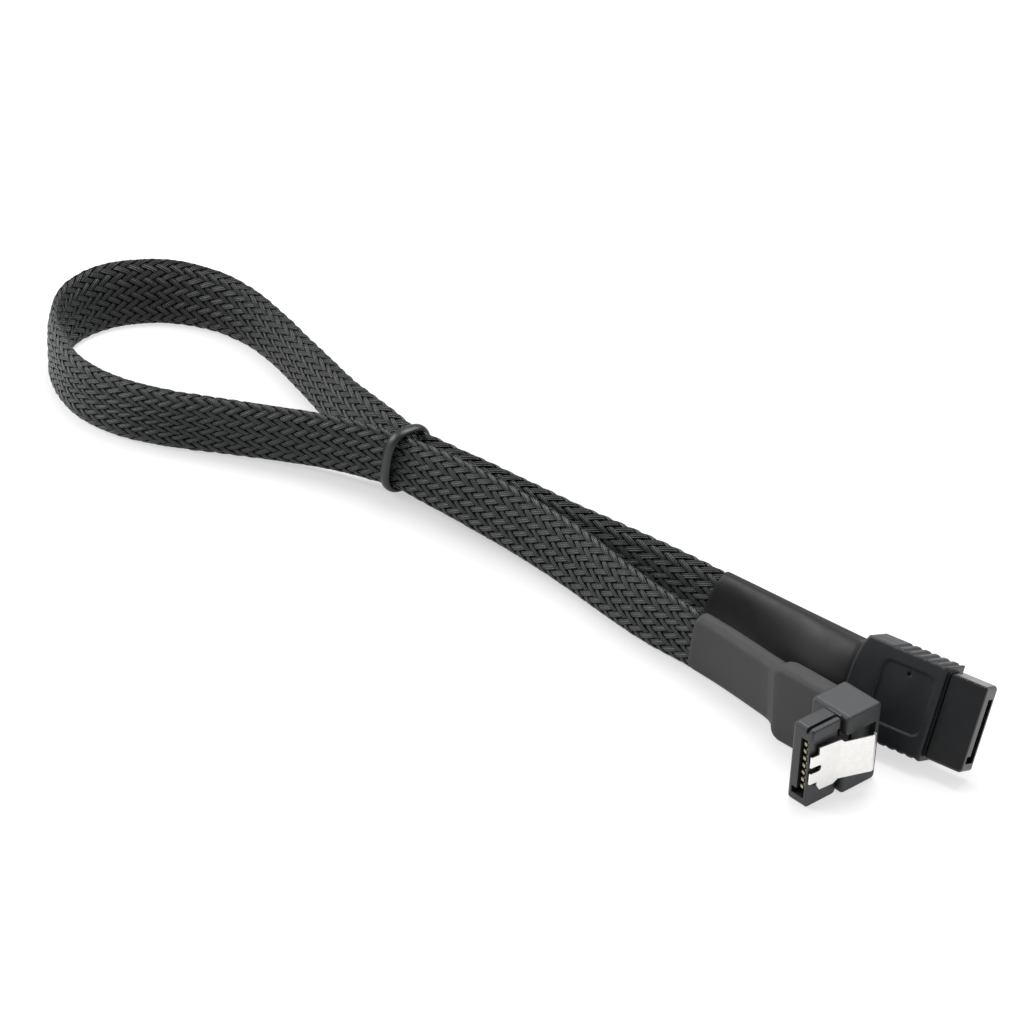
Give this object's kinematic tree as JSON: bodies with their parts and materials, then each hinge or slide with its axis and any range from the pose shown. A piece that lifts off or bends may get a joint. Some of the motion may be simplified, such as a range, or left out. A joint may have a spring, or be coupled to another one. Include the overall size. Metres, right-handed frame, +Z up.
{
  "type": "sata data cable",
  "caption": "Flat data cable in a woven sleeve, looped back on itself in a rubber ring, with a straight plug on one end and an angled plug with a steel latch on the other.",
  "frame": {"origin": "on the table under the middle of the two plugs with their heat shrinks", "axes": "+Z up from the table; +X from the cable's loop towards the plugs; the angled plug's mating face looks to -Y"},
  "size_m": [0.2033, 0.0488, 0.0164],
  "materials": {
    "braid": "woven, semi-matt",
    "heat_shrink": "matt",
    "ring_rubber": "satin",
    "overmould": "satin",
    "insulator": "satin to gloss",
    "steel": "bright",
    "gold_contact": "bright plated"
  },
  "bodies": {
    "cable": {"straight_plug_grip": "overmould", "straight_plug_nose": "insulator", "straight_contact_1": "gold_contact", "straight_contact_2": "gold_contact", "straight_contact_3": "gold_contact", "straight_contact_4": "gold_contact", "straight_contact_5": "gold_contact", "straight_contact_6": "gold_contact", "straight_contact_7": "gold_contact", "angled_plug_body": "overmould", "angled_plug_nose": "insulator", "angled_contact_1": "gold_contact", "angled_contact_2": "gold_contact", "angled_contact_3": "gold_contact", "angled_contact_4": "gold_contact", "angled_contact_5": "gold_contact", "angled_contact_6": "gold_contact", "angled_contact_7": "gold_contact", "braided_sleeve": "braid", "straight_heat_shrink": "heat_shrink", "angled_heat_shrink": "heat_shrink", "rubber_ring": "ring_rubber"},
    "latch": {"latch_clip": "steel"}
  },
  "joints": [
    {"name": "latch_press", "type": "hinge", "parent": "cable", "child": "latch", "pos_m": [0.01719, -0.01567, 0], "axis": [0, 0, 1], "range_deg": [0, 5], "stiffness_Nm_per_rad": 0.02}
  ]
}
